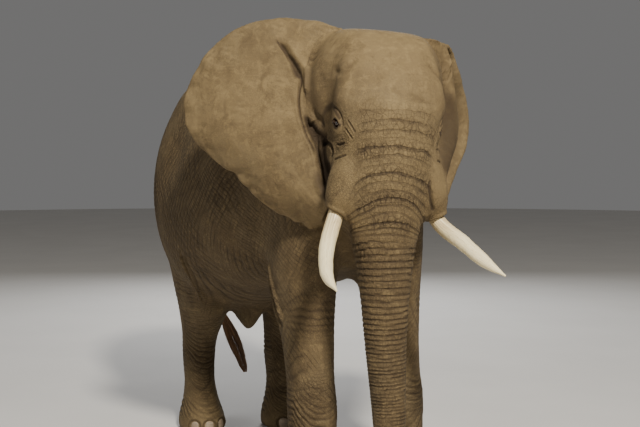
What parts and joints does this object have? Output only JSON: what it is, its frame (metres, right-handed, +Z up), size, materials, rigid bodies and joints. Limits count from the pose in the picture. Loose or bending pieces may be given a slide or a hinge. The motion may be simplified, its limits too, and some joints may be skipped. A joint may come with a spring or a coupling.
{
  "type": "african elephant",
  "caption": "Life-size still model of an adult African bull elephant standing on all fours, head turned to its right, right ear spread, left ear folded back, trunk hanging.",
  "frame": {"origin": "on the floor under the middle of the whole model's box", "axes": "+Z up; the animal faces -Y; its left side is +X and its right side is -X"},
  "size_m": [2.1174, 4.2936, 3.2825],
  "materials": {
    "skin": "matte, dusty warm grey-brown, deeply wrinkled bare skin",
    "toenail": "matt horn, chalky and worn",
    "ivory": "satin cream ivory, brown stains near the lip",
    "eye": "wet glossy dark brown",
    "tail_hair": "coarse stiff dark brown hair"
  },
  "bodies": {
    "root": {"torso": "skin", "neck": "skin", "head": "skin", "lower_jaw": "skin", "trunk_upper": "skin", "trunk_middle": "skin", "trunk_lower": "skin", "trunk_tip": "skin", "ear_right": "skin", "ear_left": "skin", "tail": "skin", "leg_front_right_upper": "skin", "leg_front_right_lower": "skin", "foot_front_right": "skin", "leg_front_left_upper": "skin", "leg_front_left_lower": "skin", "foot_front_left": "skin", "leg_hind_right_upper": "skin", "leg_hind_right_lower": "skin", "foot_hind_right": "skin", "leg_hind_left_upper": "skin", "leg_hind_left_lower": "skin", "foot_hind_left": "skin", "nail_front_right_1": "toenail", "nail_front_right_2": "toenail", "nail_front_right_3": "toenail", "nail_front_right_4": "toenail", "nail_front_left_1": "toenail", "nail_front_left_2": "toenail", "nail_front_left_3": "toenail", "nail_front_left_4": "toenail", "nail_hind_right_1": "toenail", "nail_hind_right_2": "toenail", "nail_hind_right_3": "toenail", "nail_hind_left_1": "toenail", "nail_hind_left_2": "toenail", "nail_hind_left_3": "toenail", "tusk_right": "ivory", "tusk_left": "ivory", "eye_right": "eye", "eye_left": "eye", "tail_tuft": "tail_hair"}
  },
  "joints": []
}
